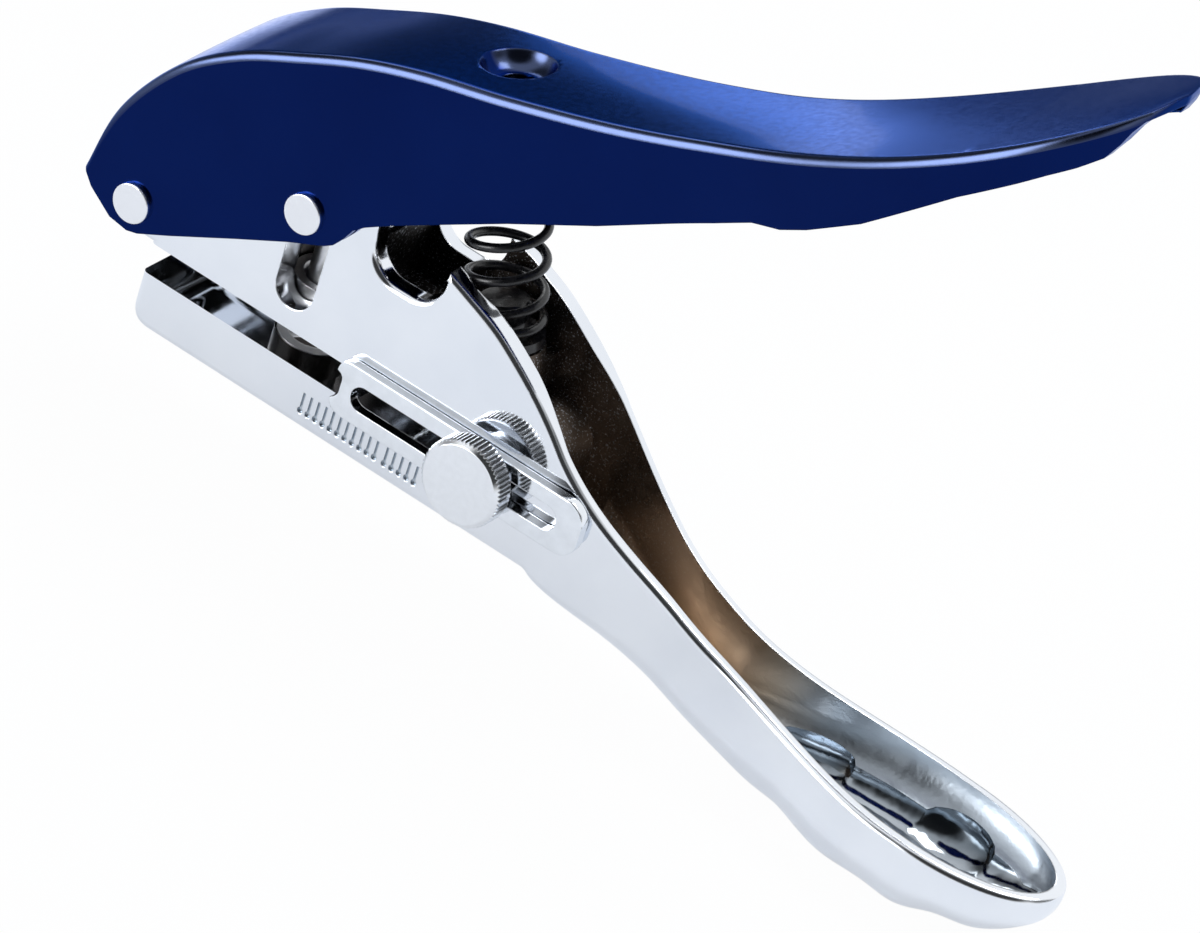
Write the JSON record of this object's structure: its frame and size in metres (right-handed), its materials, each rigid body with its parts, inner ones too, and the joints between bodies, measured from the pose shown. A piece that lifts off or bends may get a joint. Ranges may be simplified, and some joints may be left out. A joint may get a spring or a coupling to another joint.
{
  "type": "single hole punch",
  "caption": "Hand-held plier-type punch for one round hole, with a cast lower handle, a pressed steel lever, a return spring and a sliding depth gauge with thumb screw.",
  "frame": {"origin": "on the flat underside of the lower jaw, on the mid plane, straight below the axis of the thumb screw", "axes": "+X from the nose along the throat towards the tails of the handles, +Y across the punch away from the gauge, +Z from the jaw up to the lever, parallel to the punch rod"},
  "size_m": [0.1524, 0.0288, 0.1159],
  "materials": {
    "polished_plating": "mirror bright plating over a zinc casting",
    "blue_enamel": "gloss dark blue enamel on pressed steel",
    "pin_steel": "satin plated steel",
    "tool_steel": "ground hardened steel",
    "black_wire": "black coated spring wire",
    "black_plastic": "moulded black plastic",
    "plated_sheet": "bright nickel plating on steel sheet",
    "satin_plating": "satin nickel with a knurled rim"
  },
  "bodies": {
    "frame": {"lower_body": "polished_plating", "punch_guide": "tool_steel", "die_bush": "tool_steel", "spring_seat": "black_plastic", "return_spring": "black_wire"},
    "lever": {"upper_handle": "blue_enamel", "pivot_pin": "pin_steel", "drive_pin": "pin_steel"},
    "punch": {"punch_rod": "tool_steel"},
    "gauge": {"gauge_plate": "plated_sheet"},
    "screw": {"thumb_screw": "satin_plating"}
  },
  "joints": [
    {"name": "lever_hinge", "type": "hinge", "parent": "frame", "child": "lever", "pos_m": [-0.057, 0, 0.0168], "axis": [0, 1, 0], "range_deg": [0, 13.5], "stiffness_Nm_per_rad": 2.5, "springref_deg": -8.59, "deforming": ["return_spring"]},
    {"name": "punch_slide", "type": "slide", "parent": "frame", "child": "punch", "axis": [0, 0, -1], "range_m": [0, 0.0059]},
    {"name": "gauge_slide", "type": "slide", "parent": "frame", "child": "gauge", "axis": [1, 0, 0], "range_m": [-0.004, 0.0135]},
    {"name": "screw_turn", "type": "hinge", "parent": "frame", "child": "screw", "pos_m": [0, -0.0125, 0.0099], "axis": [0, 1, 0], "range_deg": [0, 270]}
  ],
  "couplings": [
    {"joint": "punch_slide", "follows": "lever_hinge", "m_per_rad": 0.02491}
  ]
}
